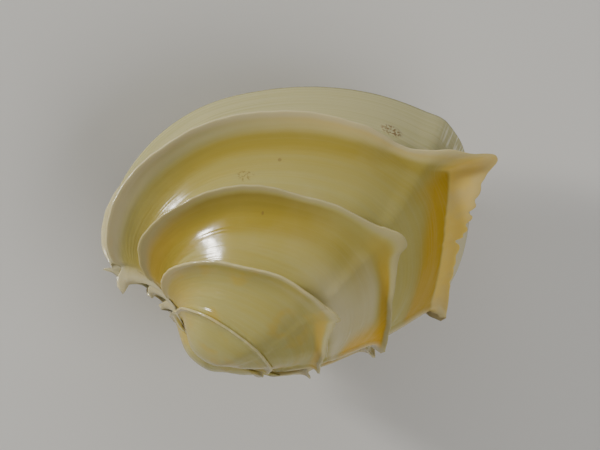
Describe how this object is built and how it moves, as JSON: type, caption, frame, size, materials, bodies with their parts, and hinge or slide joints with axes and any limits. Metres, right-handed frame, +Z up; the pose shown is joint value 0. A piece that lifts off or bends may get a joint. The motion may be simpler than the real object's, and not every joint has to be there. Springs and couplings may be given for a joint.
{
  "type": "venus clam shell",
  "caption": "Closed venus clam shell of two frilled valves with a rear spout and a ligament, lying on one valve.",
  "frame": {"origin": "middle of the underside's bounding box, on the surface that the shell lies on", "axes": "+X towards the posterior end with the spout, +Y towards the ventral margin, +Z up through the right valve"},
  "size_m": [0.0434, 0.0322, 0.0272],
  "materials": {
    "shell": "gloss",
    "ligament": "satin"
  },
  "bodies": {
    "root": {"right_valve": "shell", "left_valve": "shell", "ligament": "ligament"}
  },
  "joints": []
}
